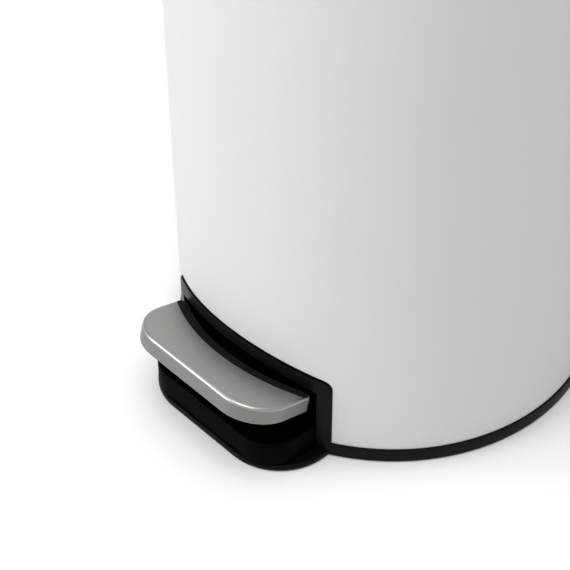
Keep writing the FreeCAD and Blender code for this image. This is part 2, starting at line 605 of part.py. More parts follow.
def hinge_housing():
    half, y1, z0 = HOUSING_HALF, HINGE_Y + EAR_R, HOUSING_Z0
    housing = box(-half, half, 120, y1, z0, 591)
    rear = edges_where(housing, lambda c: abs(c.y - y1) < 0.01 and abs(abs(c.x) - half) < 0.01)
    housing = housing.makeFillet(8.0, rear)
    lower = edges_where(housing, lambda c: c.y > y1 - 9 and abs(c.z - z0) < 0.01)
    housing = housing.makeChamfer(4.0, lower)
    ear = bar_x(EAR_R, EAR_IN, EAR_OUT, HINGE_Y, HINGE_Z)
    ear = ear.fuse(box(EAR_IN, EAR_OUT, HINGE_Y - EAR_R, y1, 580, HINGE_Z))
    housing = housing.fuse(ear).fuse(mirrored(ear))
    housing = housing.cut(post(TRIM_R, 575, 620)).cut(post(BODY_R, 500, 620))
    housing = housing.cut(box(-EAR_IN, EAR_IN, 150, 180, 583, 620))
    housing = housing.cut(box(-10, 10, 140, 158, 574, 620))
    hollow = box(3.5 - half, half - 3.5, 120, y1 - 3.0, z0 + 4, 571)
    for x, z in HOUSING_SCREWS:
        hollow = hollow.cut(bar_y(5.0, 120, y1, x, z))
    housing = housing.cut(hollow)
    housing = housing.cut(bar_x(HINGE_PIN_R, -40, 40, HINGE_Y, HINGE_Z))
    for x, z in HOUSING_SCREWS:
        housing = housing.cut(bar_y(BACK_SCREW_R, 145, 161, x, z))
    return housing.removeSplitter()


def back_screw(x, z, seat_r, end):
    """A screw from inside the shell, its head just clear of a curved seat of radius seat_r."""
    reach = math.sqrt(seat_r ** 2 - (abs(x) + 4) ** 2)
    head = bar_y(BACK_HEAD_R, reach - BACK_HEAD, reach, x, z)
    return head.fuse(bar_y(BACK_SCREW_R, reach, end, x, z))


def housing_screws():
    return [back_screw(x, z, HINGE_PLATE_IN, 160) for x, z in HOUSING_SCREWS]


def hinge_pin():
    return bar_x(HINGE_PIN_R, -33, 33, HINGE_Y, HINGE_Z)


def carry_handle():
    z0, z1 = HANDLE_Z - HANDLE_H / 2, HANDLE_Z + HANDLE_H / 2
    half = HANDLE_HALF
    bow = tube(HANDLE_OUT, HANDLE_OUT - HANDLE_T, z0, z1).common(box(-half, half, 100, 200, z0, z1))
    leg = box(half - HANDLE_LEG, half, 130, 185, z0, z1).common(post(HANDLE_OUT, z0, z1))
    handle = bow.fuse(leg).fuse(mirrored(leg)).cut(post(BODY_R, z0 - 1, z1 + 1))
    corners = edges_where(handle, lambda c: abs(abs(c.x) - half) < 0.5 and c.y > 165 and z0 + 1 < c.z < z1 - 1)
    handle = handle.makeFillet(7.0, corners)
    for x, z in HANDLE_SCREWS:
        handle = handle.cut(bar_y(BACK_SCREW_R, 130, 158, x, z))
    return handle.removeSplitter()


def handle_screws():
    return [back_screw(x, z, BODY_IN, 157) for x, z in HANDLE_SCREWS]


# ---- lid ----

def dome_profile(offset):
    """The lid's outside, moved in by offset: shoulder arc, then dome arc to the axis."""
    corner = LID_CORNER - offset
    centre_r = TRIM_R - LID_CORNER
    slope = math.asin(centre_r / (LID_DOME_R - LID_CORNER))
    dome_r = LID_DOME_R - offset
    join = V(centre_r + corner * math.sin(slope), 0, LID_SHOULDER_Z + corner * math.cos(slope))
    centre_z = join.z - dome_r * math.cos(slope)
    mid = slope / 2
    half_turn = math.radians(90) - (math.radians(90) - slope) / 2
    shoulder = Part.Arc(
        V(TRIM_R - offset, 0, LID_SHOULDER_Z),
        V(centre_r + corner * math.sin(half_turn), 0, LID_SHOULDER_Z + corner * math.cos(half_turn)),
        join)
    dome = Part.Arc(
        join,
        V(dome_r * math.sin(mid), 0, centre_z + dome_r * math.cos(mid)),
        V(0, 0, centre_z + dome_r))
    return [shoulder.toShape(), dome.toShape()], centre_z + dome_r


def dome_solid(offset, z0):
    arcs, top = dome_profile(offset)
    edge = TRIM_R - offset
    lines = [
        Part.makeLine(V(0, 0, top), V(0, 0, z0)),
        Part.makeLine(V(0, 0, z0), V(edge, 0, z0)),
        Part.makeLine(V(edge, 0, z0), V(edge, 0, LID_SHOULDER_Z)),
    ]
    return Part.Face(Part.Wire(arcs + lines)).revolve(V(0, 0, 0), Z_AXIS, 360)


def hinge_clearance():
    return box(-23, 23, 143, 175, 580, 609.0)


def lid_shell():
    shell = dome_solid(0.0, LID_Z0).cut(dome_solid(SHEET, LID_Z0 - 1))
    return shell.cut(hinge_clearance())


def lid_liner():
    rim, z = TRIM_R - SHEET, LID_SHOULDER_Z
    profile = [
        (0, z), (143.5, z), (145.5, LID_SEAT), (rim, LID_SEAT), (rim, z), (146.5, LINER_TOP), (0, LINER_TOP),
    ]
    liner = turned(profile)
    liner = liner.cut(box(-23, 23, 116, 175, 580, 620))
    for x, y in LID_SCREWS:
        liner = liner.cut(post(LID_SCREW_R, 590, 610, x, y))
    return liner


def lid_hinge_block():
    y, z = HINGE_Y, HINGE_Z
    block = bar_x(BARREL_R, -BLOCK_HALF, BLOCK_HALF, y, z)
    block = block.fuse(box(-BLOCK_HALF, BLOCK_HALF, 110, y, LINER_TOP, LINER_TOP + 4.5))
    reach = (HINGE_Y - ROD_Y) / math.cos(math.radians(SLOT_ANGLE))
    cheek = bar_x(BARREL_R, ARM_IN, ARM_OUT, y, z).fuse(bar_x(BARREL_R, ARM_IN, ARM_OUT, y - reach, z))
    cheek = cheek.fuse(box(ARM_IN, ARM_OUT, y - reach, y, z - BARREL_R, z + BARREL_R))
    near = HINGE_Y - ROD_Y
    half = ROD_PIN_R + 1.25
    slot = bar_x(half, 0, 10, y - near + 1.0, z).fuse(bar_x(half, 0, 10, y - reach, z))
    slot = slot.fuse(box(0, 10, y - reach, y - near + 1.0, z - half, z + half))
    cheek = cheek.cut(slot)
    cheek.rotate(V(0, y, z), X_AXIS, SLOT_ANGLE)
    block = block.cut(box(-ARM_IN, ARM_IN, y - 30, y - 3, z - 25, z + 0.5))
    block = block.fuse(cheek).fuse(mirrored(cheek))
    block = block.cut(bar_x(HINGE_PIN_R + RUN, -30, 30, y, z))
    for x, sy in LID_SCREWS:
        block = block.cut(post(LID_SCREW_R, 590, 606, x, sy))
    return block.removeSplitter()


def lid_screws():
    screws = []
    for x, y in LID_SCREWS:
        head = post(3.5, LID_SHOULDER_Z - 2, LID_SHOULDER_Z, x, y)
        screws.append(head.fuse(post(LID_SCREW_R, LID_SHOULDER_Z, 606, x, y)))
    return screws


# ---- bucket ----

def inner_bucket():
    z0, z1 = BUCKET_Z0, BUCKET_Z1
    r0, r1, t = BUCKET_R0, BUCKET_R1, BUCKET_T
    profile = [
        (0, z0 + 1.0), (r0 - 8, z0 + 1.0), (r0 - 7, z0), (r0 - 2, z0), (r0, z0 + 2), (r1, z1 - 3),
        (RIM_R, z1 - 3), (RIM_R, z1), (r1 - t, z1), (r0 - t, z0 + 1.0 + t), (0, z0 + 1.0 + t),
    ]
    bucket = turned(profile)
    ear = box(128, RIM_R - 0.8, -6, 6, z1 - 3, BAIL_Z + 4.5)
    ear = ear.fuse(side_ear_web())
    ear = ear.cut(bar_x(WIRE_R + 0.08, 120, 140, 0, BAIL_Z))
    return bucket.fuse(ear).fuse(mirrored(ear)).removeSplitter()


def side_ear_web():
    """A gusset that carries the bail's ear on the bucket's wall."""
    gusset = polygon([V(128, -2, BUCKET_Z1 - 3), V(132, -2, BUCKET_Z1 - 3), V(131.5, -2, BUCKET_Z1 - 14)])
    return gusset.extrude(V(0, 4, 0))


def bail_path():
    z = BAIL_Z
    left = Part.makeLine(V(-BAIL_R, 0, z), V(-BAIL_R, -BAIL_SHIFT, z))
    bow = Part.Arc(V(-BAIL_R, -BAIL_SHIFT, z), V(0, -BAIL_SHIFT - BAIL_R, z), V(BAIL_R, -BAIL_SHIFT, z))
    right = Part.makeLine(V(BAIL_R, -BAIL_SHIFT, z), V(BAIL_R, 0, z))
    return Part.Wire([left, bow.toShape(), right])


def bucket_bail():
    section = Part.Wire([Part.makeCircle(WIRE_R, V(-BAIL_R, 0, BAIL_Z), Y_AXIS)])
    wire = bail_path().makePipeShell([section], True, False)
    for side in (-1, 1):
        x0, x1 = sorted((side * BAIL_R, side * (RIM_R - 1.2)))
        wire = wire.fuse(bar_x(WIRE_R, x0, x1, 0, BAIL_Z))
        wire = wire.fuse(Part.makeSphere(WIRE_R, V(side * BAIL_R, 0, BAIL_Z)))
    return wire


def bail_grip():
    grip = Part.makeTorus(BAIL_R, GRIP_R, V(0, 0, 0), Z_AXIS)
    hole = Part.makeTorus(BAIL_R, WIRE_R, V(0, 0, 0), Z_AXIS)
    grip = grip.cut(hole)
    grip.translate(V(0, -BAIL_SHIFT, BAIL_Z))
    return grip.common(box(-42, 42, -160, -100, 500, 620))


NODES = {
    "body_shell": body_shell, "base_ring": base_ring, "base_pan": base_pan,
    "pedal_surround": pedal_surround, "pedal_foot": pedal_foot, "rubber_feet": rubber_feet,
    "pedal_stops": pedal_stops, "base_screws": base_screws, "pedal_cover": pedal_cover,
    "pedal_core": pedal_core, "pedal_lever": pedal_lever, "pedal_rivets": pedal_rivets,
    "pivot_bushes": pivot_bushes, "pedal_pivot_pin": pedal_pivot_pin, "pivot_clip": pivot_clip,
    "pedal_bracket": pedal_bracket, "bracket_screws": bracket_screws, "lift_rod": lift_rod,
    "rod_foot": rod_foot, "rod_foot_pin": rod_foot_pin, "rod_head": rod_head,
    "rod_head_pin": rod_head_pin, "damper_arm": damper_arm, "damper_rod": damper_rod,
    "damper_cylinder": damper_cylinder, "damper_clip": damper_clip, "return_spring": return_spring,
    "lower_rod_guide": lower_rod_guide, "middle_rod_guide": middle_rod_guide,
    "upper_rod_guide": upper_rod_guide, "top_collar": top_collar, "lid_bumpers": lid_bumpers,
    "hinge_plate": hinge_plate, "hinge_housing": hinge_housing, "housing_screws": housing_screws,
    "hinge_pin": hinge_pin, "carry_handle": carry_handle, "handle_screws": handle_screws,
    "lid_shell": lid_shell, "lid_liner": lid_liner, "lid_hinge_block": lid_hinge_block,
    "lid_screws": lid_screws, "inner_bucket": inner_bucket, "bucket_bail": bucket_bail,
    "bail_grip": bail_grip,
}

os.makedirs("parts", exist_ok=True)
for name, build in NODES.items():
    made = build()
    solids = made if isinstance(made, list) else made.Solids
    shape = solids[0] if len(solids) == 1 else Part.makeCompound(solids)
    shape.exportStep("parts/" + name + ".step")
    print(name, len(solids), "valid" if shape.isValid() else "NOT VALID", round(shape.Volume))
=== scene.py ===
"""Looks of the round pedal bin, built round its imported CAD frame. Metres, +Z up.

The origin is on the body's axis, on the floor. The pedal faces -Y and the lid is hinged at +Y.
Angles round the axis are counted from the front, so that angle 0 is -Y and 90 degrees is +X.
"""
import json
import math

import bmesh
import bpy
from mathutils import Matrix, Vector


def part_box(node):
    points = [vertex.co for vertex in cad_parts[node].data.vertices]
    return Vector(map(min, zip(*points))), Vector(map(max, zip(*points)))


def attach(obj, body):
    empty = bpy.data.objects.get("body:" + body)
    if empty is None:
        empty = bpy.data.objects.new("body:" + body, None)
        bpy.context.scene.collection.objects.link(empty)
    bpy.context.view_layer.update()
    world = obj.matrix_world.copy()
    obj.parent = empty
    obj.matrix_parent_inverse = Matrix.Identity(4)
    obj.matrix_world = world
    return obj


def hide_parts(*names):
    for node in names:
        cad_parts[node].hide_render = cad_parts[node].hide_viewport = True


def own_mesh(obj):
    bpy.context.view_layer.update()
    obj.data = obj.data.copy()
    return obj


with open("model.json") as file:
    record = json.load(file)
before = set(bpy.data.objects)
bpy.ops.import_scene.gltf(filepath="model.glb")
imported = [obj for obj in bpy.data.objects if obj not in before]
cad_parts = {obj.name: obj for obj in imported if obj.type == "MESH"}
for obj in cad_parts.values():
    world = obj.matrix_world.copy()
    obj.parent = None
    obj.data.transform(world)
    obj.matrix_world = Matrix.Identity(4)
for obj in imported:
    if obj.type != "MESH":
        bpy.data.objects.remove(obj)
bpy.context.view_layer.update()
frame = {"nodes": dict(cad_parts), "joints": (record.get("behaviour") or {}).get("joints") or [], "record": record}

MM = 0.001
DEG = math.pi / 180
FULL_TURN = 2 * math.pi


# ---- sizes, from the frame wherever a node or a joint gives them ----

def top_of(node):
    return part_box(node)[1]


def bottom_of(node):
    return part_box(node)[0]


def joint_place(name):
    return next(Vector(j["pos_m"]) for j in frame["joints"] if j["name"] == name)


AROUND = 288                    # steps of a full turn, on the large round pieces
SHARP = 32 * DEG                # shading breaks at edges that turn by more
MERGE = 0.002 * MM              # points closer than this are one point
SLIVER = 0.001 * MM
SNUG = 0.02 * MM                # the gap between the body's sheet and a moulding on it
BELOW_FLOOR = -1 * MM           # where a cutter that comes up through the floor starts

BODY_R = top_of("body_shell").x
SHEET = 0.8 * MM
SHELL_Z0, SHELL_Z1 = bottom_of("body_shell").z, top_of("body_shell").z
TRIM_R = top_of("base_ring").x
TRIM_IN = 147.3 * MM            # the inside of the base ring's and the collar's walls
FLOOR_GAP = bottom_of("base_ring").z
RING_TOP = top_of("base_ring").z
FLANGE_IN, FLANGE_TOP = 138 * MM, 3.8 * MM

SUR_HALF = top_of("pedal_surround").x
SUR_MID_Z = top_of("pedal_surround").z
SUR_END_Z = SUR_MID_Z - 11.4 * MM
SUR_CORNER = 7.5 * MM
BAND = 10.8 * MM
OPEN_HALF = SUR_HALF - BAND + 1.5 * MM
TUNNEL_R = TRIM_R - 9.2 * MM
TUNNEL_WALL = 2.0 * MM

PIVOT = joint_place("pedal_press")
TILT = 15.7 * DEG
PEDAL_HALF = top_of("pedal_cover").x
PEDAL_FRONT, PEDAL_BACK = -138.2 * MM, -84.7 * MM
PEDAL_TOP, PEDAL_SKIRT = -3.6 * MM, -16.0 * MM
PEDAL_CORNER, PEDAL_HEEL = 29.9 * MM, 3.5 * MM
PEDAL_EDGE = 2.4 * MM
CAP_SHEET = 1.0 * MM
CAP_ARC_R = 130.0 * MM          # the cap's top stops at this hollow arc
CAP_ARC_Y = -109.0 * MM + CAP_ARC_R
CAP_RETURN = 5.0 * MM

FOOT_HALF = top_of("pedal_foot").x
FOOT_FRONT, FOOT_BACK = bottom_of("pedal_foot").y, -120.0 * MM
FOOT_CORNER = 43.0 * MM
FOOT_TOP = top_of("pedal_foot").z
LIP_TOP = 4.8 * MM
WALL_HALF = OPEN_HALF - 0.5 * MM
WALL_FRONT, WALL_CORNER = -177.5 * MM, 27.0 * MM
FOOT_WALL = 2.0 * MM
DECK = 24.0 * MM

LID_Z0 = bottom_of("lid_shell").z
LID_SHOULDER_Z = LID_Z0 + 10 * MM
LID_CORNER = 14 * MM
LID_DOME_R = 400 * MM
COLLAR_Z0, COLLAR_Z1 = SHELL_Z1, top_of("top_collar").z
MOUTH_R = 136.5 * MM

BUCKET_R0, BUCKET_R1 = 124 * MM, 133 * MM
BUCKET_Z0 = bottom_of("inner_bucket").z
BUCKET_RIM_Z = 562 * MM
BUCKET_T = 2 * MM
RIM_R = top_of("inner_bucket").x
BAIL = joint_place("bail_swing")
BAIL_R, BAIL_SHIFT = 122 * MM, 3 * MM
WIRE_R = 2 * MM

HANDLE_LOW, HANDLE_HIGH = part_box("carry_handle")


# ---- mesh helpers ----

def place(name, data):
    """A new object in the scene, of a mesh, a light or a camera."""
    made = bpy.data.objects.new(name, data)
    bpy.context.scene.collection.objects.link(made)
    return made


def shade(piece):
    """Smooth shading, broken at sharp edges."""
    mesh = piece.data
    mesh.polygons.foreach_set("use_smooth", [True] * len(mesh.polygons))
    mesh.set_sharp_from_angle(angle=SHARP)
    mesh.update()
    return piece


def tidy(piece):
    """Merges doubled points and turns every face outwards."""
    work = bmesh.new()
    work.from_mesh(piece.data)
    bmesh.ops.remove_doubles(work, verts=work.verts, dist=MERGE)
    bmesh.ops.dissolve_degenerate(work, edges=work.edges, dist=SLIVER)
    bmesh.ops.recalc_face_normals(work, faces=work.faces)
    work.to_mesh(piece.data)
    work.free()
    return shade(piece)


def loft(name, rings, closed=False):
    """A skin over rings of points, all of one length.

    closed joins the last ring to the first. Otherwise both ends are capped.
    """
    count = len(rings[0])
    points = [p for ring in rings for p in ring]
    faces = []
    for i in range(len(rings) if closed else len(rings) - 1):
        a, b = i * count, ((i + 1) % len(rings)) * count
        for j in range(count):
            k = (j + 1) % count
            faces.append((a + j, a + k, b + k, b + j))
    if not closed:
        faces.append(tuple(reversed(range(count))))
        faces.append(tuple(range(len(points) - count, len(points))))
    mesh = bpy.data.meshes.new(name)
    mesh.from_pydata([tuple(p) for p in points], [], faces)
    return tidy(place(name, mesh))


def arc(centre, radius, start, end, steps):
    """Points on an arc, angles in degrees."""
    turns = [(start + (end - start) * i / steps) * DEG for i in range(steps + 1)]
    return [Vector((centre[0] + radius * math.cos(t), centre[1] + radius * math.sin(t)))
            for t in turns]


def quarter_turn(steps):
    return [i * math.pi / (2 * steps) for i in range(steps + 1)]


def circle(radius, count, height=0.0):
    """A closed (across, height) outline."""
    turns = [FULL_TURN * i / count for i in range(count)]
    return [(radius * math.cos(t), height + radius * math.sin(t)) for t in turns]


def rounded(corners, steps):
    """A flat outline of (u, v, radius) corners, each turned into an arc of that radius."""
    points = []
    for i, (u, v, radius) in enumerate(corners):
        here = Vector((u, v))
        if radius <= 0:
            points.append(here)
            continue
        back = (Vector(corners[i - 1][:2]) - here).normalized()
        on = (Vector(corners[(i + 1) % len(corners)][:2]) - here).normalized()
        half = back.angle(on) / 2
        centre = here + (back + on).normalized() * (radius / math.sin(half))
        start = (here + back * (radius / math.tan(half)) - centre).normalized()
        end = (here + on * (radius / math.tan(half)) - centre).normalized()
        for k in range(steps + 1):
            points.append(centre + start.slerp(end, k / steps) * radius)
    return points


def at_height(outline, z):
    return [Vector((x, y, z)) for x, y in outline]


def at_angle(radius, z, angle):
    return Vector((radius * math.sin(angle), -radius * math.cos(angle), z))


def lathe(name, profile, angles=None):
    """Turns a closed (radius, z) profile about Z. Without angles it goes all the way round."""
    turns = angles or [FULL_TURN * i / AROUND for i in range(AROUND)]
    rings = [[at_angle(r, z, a) for r, z in profile] for a in turns]
    return loft(name, rings, closed=angles is None)


def prism(outline, low, high):
    """A cutter with a flat (x, y) outline, from one height to another."""
    return loft("cutter", [at_height(outline, z) for z in (low, high)])


def box_mesh(low, high):
    corners = ((low[0], low[1]), (high[0], low[1]), (high[0], high[1]), (low[0], high[1]))
    return prism(corners, low[2], high[2])


def post_mesh(radius, low, high, steps, x=0.0, y=0.0):
    return prism(arc((x, y), radius, 0, 360 - 360 / steps, steps - 1), low, high)


def cut(piece, cutter):
    """Takes the cutter's volume out of the piece."""
    step = piece.modifiers.new("cut", "BOOLEAN")
    step.operation = "DIFFERENCE"
    step.solver = "EXACT"
    step.object = cutter
    bpy.context.view_layer.update()
    shaped = piece.evaluated_get(bpy.context.evaluated_depsgraph_get())
    mesh = bpy.data.meshes.new_from_object(shaped)
    piece.modifiers.clear()
    old = piece.data
    piece.data = mesh
    mesh.name = piece.name
    bpy.data.meshes.remove(old)
    bpy.data.objects.remove(cutter)
    return tidy(piece)


def join(pieces):
    """Puts several meshes into the first one."""
    work = bmesh.new()
    for piece in pieces:
        work.from_mesh(piece.data)
    first = pieces[0]
    work.to_mesh(first.data)
    work.free()
    for piece in pieces[1:]:
        bpy.data.objects.remove(piece)
    return shade(first)


def sweep(name, path, sections):
    """A bar along a flat (x, y) path; each section is a closed (across, height) outline."""
    rings = []
    for i, here in enumerate(path):
        before, after = path[max(i - 1, 0)], path[min(i + 1, len(path) - 1)]
        along = (after - before).normalized()
        across = Vector((along.y, -along.x))
        rings.append([Vector((here.x + across.x * u, here.y + across.y * u, v))
                      for u, v in sections[i]])
    return loft(name, rings)


def solid_boxes(node):
    """The box of each separate solid in a CAD node."""
    work = bmesh.new()
    work.from_mesh(frame["nodes"][node].data)
    bmesh.ops.remove_doubles(work, verts=work.verts, dist=SLIVER)
    left, found = set(work.verts), []
    for first in work.verts:
        if first not in left:
            continue
        left.remove(first)
        stack, group = [first], []
        while stack:
            here = stack.pop()
            group.append(here.co.copy())
            for edge in here.link_edges:
                other = edge.other_vert(here)
                if other in left:
                    left.remove(other)
                    stack.append(other)
        found.append((Vector(min(p[i] for p in group) for i in range(3)),
                      Vector(max(p[i] for p in group) for i in range(3))))
    work.free()
    return found


# ---- materials ----

NOISE_LOW, NOISE_HIGH = 0.3, 0.7        # nearly all of a noise field lies between these
EVEN = (1, 1, 1)
BRUSH = (18.0, 1300.0, 1300.0)          # brushed streaks run along X


def new_material(name):
    made = bpy.data.materials.new(name)
    made.use_nodes = True
    nodes = made.node_tree.nodes
    shader = next(n for n in nodes if n.type == "BSDF_PRINCIPLED")
    return made, nodes, made.node_tree.links, shader


def noise_field(nodes, links, stretch, scale, detail):
    """A noise texture in the frame's own metres, stretched along the axes."""
    where = nodes.new("ShaderNodeTexCoord")
    shape = nodes.new("ShaderNodeMapping")
    shape.inputs["Scale"].default_value = stretch
    field = nodes.new("ShaderNodeTexNoise")
    field.inputs["Scale"].default_value = scale
    field.inputs["Detail"].default_value = detail
    links.new(where.outputs["Object"], shape.inputs["Vector"])
    links.new(shape.outputs["Vector"], field.inputs["Vector"])
    return field.outputs["Fac"]


def spread(nodes, links, field, low, high):
    """Maps a noise field's middle range onto low to high."""
    ranged = nodes.new("ShaderNodeMapRange")
    ranged.inputs["From Min"].default_value = NOISE_LOW
    ranged.inputs["From Max"].default_value = NOISE_HIGH
    ranged.inputs["To Min"].default_value = low
    ranged.inputs["To Max"].default_value = high
    links.new(field, ranged.inputs["Value"])
    return ranged.outputs["Result"]


def two_tone(nodes, links, field, dark, light):
    ramp = nodes.new("ShaderNodeValToRGB")
    first, second = ramp.color_ramp.elements
    first.position, first.color = NOISE_LOW, (*dark, 1)
    second.position, second.color = NOISE_HIGH, (*light, 1)
    links.new(field, ramp.inputs["Fac"])
    return ramp.outputs["Color"]


def relief(nodes, links, field, depth):
    bump = nodes.new("ShaderNodeBump")
    bump.inputs["Distance"].default_value = depth
    bump.inputs["Strength"].default_value = 1.0
    links.new(field, bump.inputs["Height"])
    return bump.outputs["Normal"]


def surface(name, dark, light, rough, patch, grain, depth, metallic=0.0, stretch=EVEN, **sockets):
    """A finish with slow colour and gloss patches and a fine relief.

    rough is the lowest and highest roughness. patch and grain are the frequencies of the patches
    and of the relief, per metre. depth is the relief's depth.
    """
    made, nodes, links, shader = new_material(name)
    slow = noise_field(nodes, links, EVEN, scale=patch, detail=4.0)
    fine = noise_field(nodes, links, stretch, scale=grain, detail=2.0)
    links.new(two_tone(nodes, links, slow, dark, light), shader.inputs["Base Color"])
    links.new(spread(nodes, links, slow, *rough), shader.inputs["Roughness"])
    links.new(relief(nodes, links, fine, depth), shader.inputs["Normal"])
    shader.inputs["Metallic"].default_value = metallic
    for socket, value in sockets.items():
        shader.inputs[socket.replace("_", " ")].default_value = value
    return made


def brushed(name, dark, light, rough, depth):
    """Brushed metal: long streaks in colour, gloss and relief."""
    finer, cloud_scale, cloud_share = 3.1, 38.0, 0.35
    made, nodes, links, shader = new_material(name)
    streaks = noise_field(nodes, links, BRUSH, scale=1.0, detail=5.0)
    hair = noise_field(nodes, links, tuple(finer * s for s in BRUSH), scale=1.0, detail=2.0)
    cloud = noise_field(nodes, links, EVEN, scale=cloud_scale, detail=3.0)
    links.new(two_tone(nodes, links, streaks, dark, light), shader.inputs["Base Color"])
    blend = nodes.new("ShaderNodeMix")
    blend.data_type = "FLOAT"
    blend.inputs["Factor"].default_value = cloud_share
    links.new(streaks, blend.inputs["A"])
    links.new(cloud, blend.inputs["B"])
    links.new(spread(nodes, links, blend.outputs["Result"], *rough), shader.inputs["Roughness"])
    links.new(relief(nodes, links, hair, depth), shader.inputs["Normal"])
    shader.inputs["Metallic"].default_value = 1.0
    return made


FINISHES = {
    "white_enamel": dict(
        dark=(0.614, 0.614, 0.610), light=(0.633, 0.633, 0.629), rough=(0.44, 0.52),
        patch=5.0, grain=620, depth=0.006 * MM, Specular_IOR_Level=0.08),
    "black_plastic": dict(
        dark=(0.0024, 0.0023, 0.0023), light=(0.0036, 0.0034, 0.0034), rough=(0.34, 0.46),
        patch=24.0, grain=1700, depth=0.02 * MM, Specular_IOR_Level=0.07),
    # Near-black painted shade: the foot's walls and deck under the pedal, and the surround's tunnel and its edge
    # line.
    "painted_shade_black": dict(
        dark=(0.0006, 0.0005, 0.0005), light=(0.0012, 0.0010, 0.0010), rough=(0.42, 0.56),
        patch=30.0, grain=1500, depth=0.03 * MM, Specular_IOR_Level=0.02),
    "grey_plastic": dict(
        dark=(0.045, 0.045, 0.047), light=(0.06, 0.06, 0.062), rough=(0.42, 0.55),
        patch=14.0, grain=1300, depth=0.02 * MM),
    "bucket_plastic": dict(
        dark=(0.028, 0.028, 0.03), light=(0.04, 0.04, 0.042), rough=(0.30, 0.45),
        patch=10.0, grain=240, depth=0.03 * MM, stretch=(1, 1, 0.2)),
    "pan_plastic": dict(
        dark=(0.014, 0.014, 0.0145), light=(0.022, 0.022, 0.0225), rough=(0.42, 0.60),
        patch=18.0, grain=1100, depth=0.03 * MM),
    "nylon": dict(
        dark=(0.66, 0.64, 0.58), light=(0.74, 0.72, 0.66), rough=(0.38, 0.50),
        patch=60.0, grain=900, depth=0.02 * MM, Subsurface_Weight=0.08),
    "rubber": dict(
        dark=(0.008, 0.008, 0.008), light=(0.014, 0.014, 0.0135), rough=(0.62, 0.80),
        patch=70.0, grain=1500, depth=0.05 * MM),
    "zinc_steel": dict(
        dark=(0.50, 0.51, 0.53), light=(0.62, 0.63, 0.64), rough=(0.24, 0.38),
        patch=90.0, grain=500, depth=0.012 * MM, metallic=1.0),
    # Black coat on the pedal's lever and bracket, made darker still as painted shade in the gap behind the pedal.
    "coated_steel": dict(
        dark=(0.0012, 0.0012, 0.0012), light=(0.0020, 0.0020, 0.0020), rough=(0.46, 0.58),
        patch=40.0, grain=700, depth=0.02 * MM, Specular_IOR_Level=0.03),
    "core_plastic": dict(
        dark=(0.0085, 0.0083, 0.0083), light=(0.0115, 0.0112, 0.0112), rough=(0.42, 0.54),
        patch=30.0, grain=1100, depth=0.02 * MM, Specular_IOR_Level=0.20),
    "spring_steel": dict(
        dark=(0.32, 0.32, 0.33), light=(0.42, 0.42, 0.43), rough=(0.22, 0.34),
        patch=120.0, grain=900, depth=0.01 * MM, metallic=1.0),
}
BRUSHED = {
    "brushed_stainless": dict(
        dark=(0.430, 0.416, 0.401), light=(0.465, 0.450, 0.434), rough=(0.54, 0.62),
        depth=0.0025 * MM),
    "bend_stainless": dict(
        dark=(0.39, 0.38, 0.367), light=(0.43, 0.42, 0.406), rough=(0.32, 0.38),
        depth=0.0015 * MM),
    # A darker copy of the brushed steel for the cap's upright faces: painted shade on the skirt.
    "side_stainless_painted_shade": dict(
        dark=(0.215, 0.208, 0.200), light=(0.245, 0.237, 0.228), rough=(0.42, 0.50),
        depth=0.0025 * MM),
}
PAINT = {name: surface(name, **look) for name, look in FINISHES.items()}
PAINT.update({name: brushed(name, **look) for name, look in BRUSHED.items()})


# ---- finish and body ----

def dress(piece, finish, body, slot, *nodes):
    """Gives a piece its finish and its body, and hides the CAD nodes that it stands for. slot is not used."""
    piece.data.materials.clear()
    piece.data.materials.append(PAINT[finish])
    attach(piece, body)
    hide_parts(*nodes)


def second_finish(piece, finish, where):
    """Gives the faces where(centre, normal) holds a further finish, added after dress()."""
    piece.data.materials.append(PAINT[finish])
    index = len(piece.data.materials) - 1
    for face in piece.data.polygons:
        if where(face.center, face.normal):
            face.material_index = index


# ---- visible pieces ----

def arch_radius(half, rise):
    return (half ** 2 + rise ** 2) / (2 * rise)


def arch(half, mid_z, end_z, count=48):
    """(x, z) points of the surround's arched top, left to right."""
    radius = arch_radius(half, mid_z - end_z)
    centre_z = mid_z - radius
    reach = math.asin(half / radius)
    turns = [-reach + 2 * reach * i / count for i in range(count + 1)]
    return [(radius * math.sin(t), centre_z + radius * math.cos(t)) for t in turns]


def opening_cutter(grow):
    """The surround's mouth, larger by grow, run through the front of the body."""
    front, back = -175 * MM, -95 * MM
    inset = BAND - grow
    half = OPEN_HALF + grow
    outline = arch(half, SUR_MID_Z - inset, SUR_END_Z - inset)
    outline = [(-half, BELOW_FLOOR)] + outline + [(half, BELOW_FLOOR)]
    return loft("cutter", [[Vector((x, y, z)) for x, z in outline] for y in (front, back)])


def body_skin():
    """The rolled sheet, with the welded seam down the back."""
    seam, bead = 0.45 * DEG, 0.22 * MM
    coarse, fine = 1.25, 0.2            # steps in degrees, away from the seam and at it
    seam_zone, seam_steps = 2.6, 12
    room = 0.3 * MM                     # round the surround's tunnel
    angles = [i * DEG * coarse for i in range(AROUND) if abs(i * coarse - 180) > seam_zone]
    angles += [(180 + i * fine) * DEG for i in range(-seam_steps, seam_steps + 1)]
    profile = [(BODY_R, SHELL_Z0), (BODY_R, SHELL_Z1),
               (BODY_R - SHEET, SHELL_Z1), (BODY_R - SHEET, SHELL_Z0)]
    rings = []
    for a in sorted(angles):
        grow = bead * math.exp(-((a - math.pi) / seam) ** 2)
        rings.append([at_angle(r + grow, z, a) for r, z in profile])
    skin = loft("body_skin", rings, closed=True)
    skin = cut(skin, opening_cutter(TUNNEL_WALL + room))
    dress(skin, "white_enamel", "can", "white_enamel", "body_shell")


